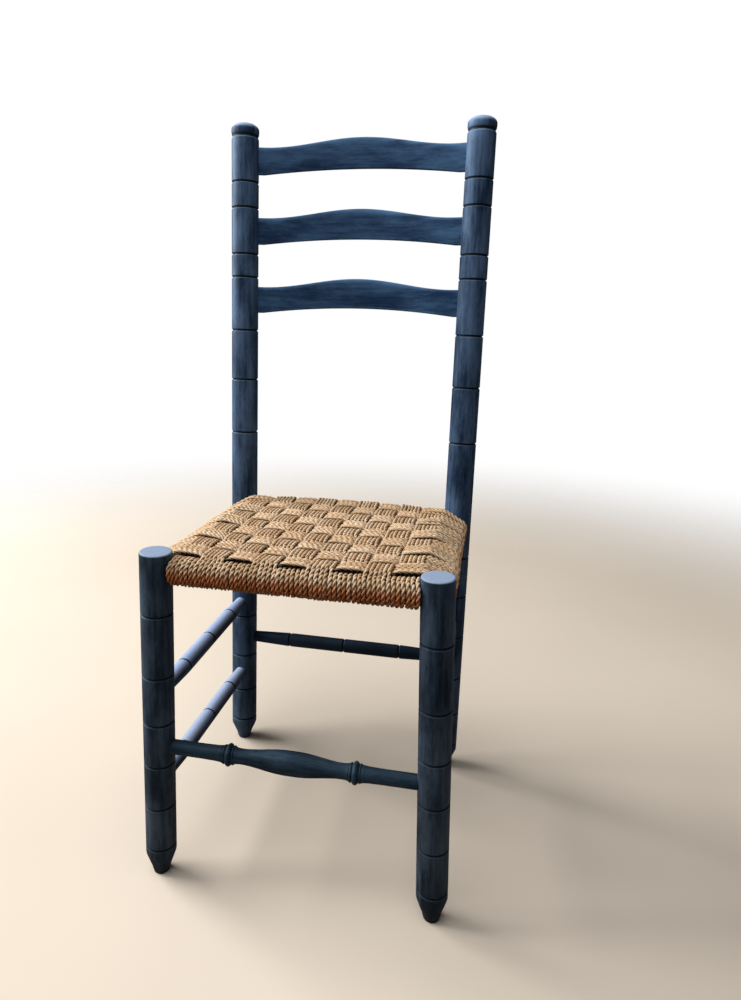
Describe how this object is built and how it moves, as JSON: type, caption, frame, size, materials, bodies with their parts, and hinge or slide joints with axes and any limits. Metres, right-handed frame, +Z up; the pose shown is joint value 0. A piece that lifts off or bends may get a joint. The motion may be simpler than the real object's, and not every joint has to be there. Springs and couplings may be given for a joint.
{
  "type": "ladderback chair",
  "caption": "Painted ladderback side chair with turned posts and stretchers, humped back slats and a basket-woven cord seat.",
  "frame": {"origin": "on the floor, in the middle of the chair's bounding box", "axes": "+Z up, +Y towards the chair's back, +X to the right for someone who faces the chair's front"},
  "size_m": [0.396, 0.4112, 1],
  "materials": {
    "painted_wood": "dark blue paint, satin, worn along the grain",
    "seat_cord": "twisted natural fibre cord, matt"
  },
  "bodies": {
    "root": {"front_leg_left": "painted_wood", "front_leg_right": "painted_wood", "rear_post_left": "painted_wood", "rear_post_right": "painted_wood", "ladder_slat_top": "painted_wood", "ladder_slat_middle": "painted_wood", "ladder_slat_bottom": "painted_wood", "seat_rail_front": "painted_wood", "seat_rail_back": "painted_wood", "seat_rail_left": "painted_wood", "seat_rail_right": "painted_wood", "front_stretcher": "painted_wood", "back_stretcher": "painted_wood", "side_stretcher_left_upper": "painted_wood", "side_stretcher_left_lower": "painted_wood", "side_stretcher_right_upper": "painted_wood", "side_stretcher_right_lower": "painted_wood", "seat_warp_cord": "seat_cord", "seat_weft_cord": "seat_cord"}
  },
  "joints": []
}
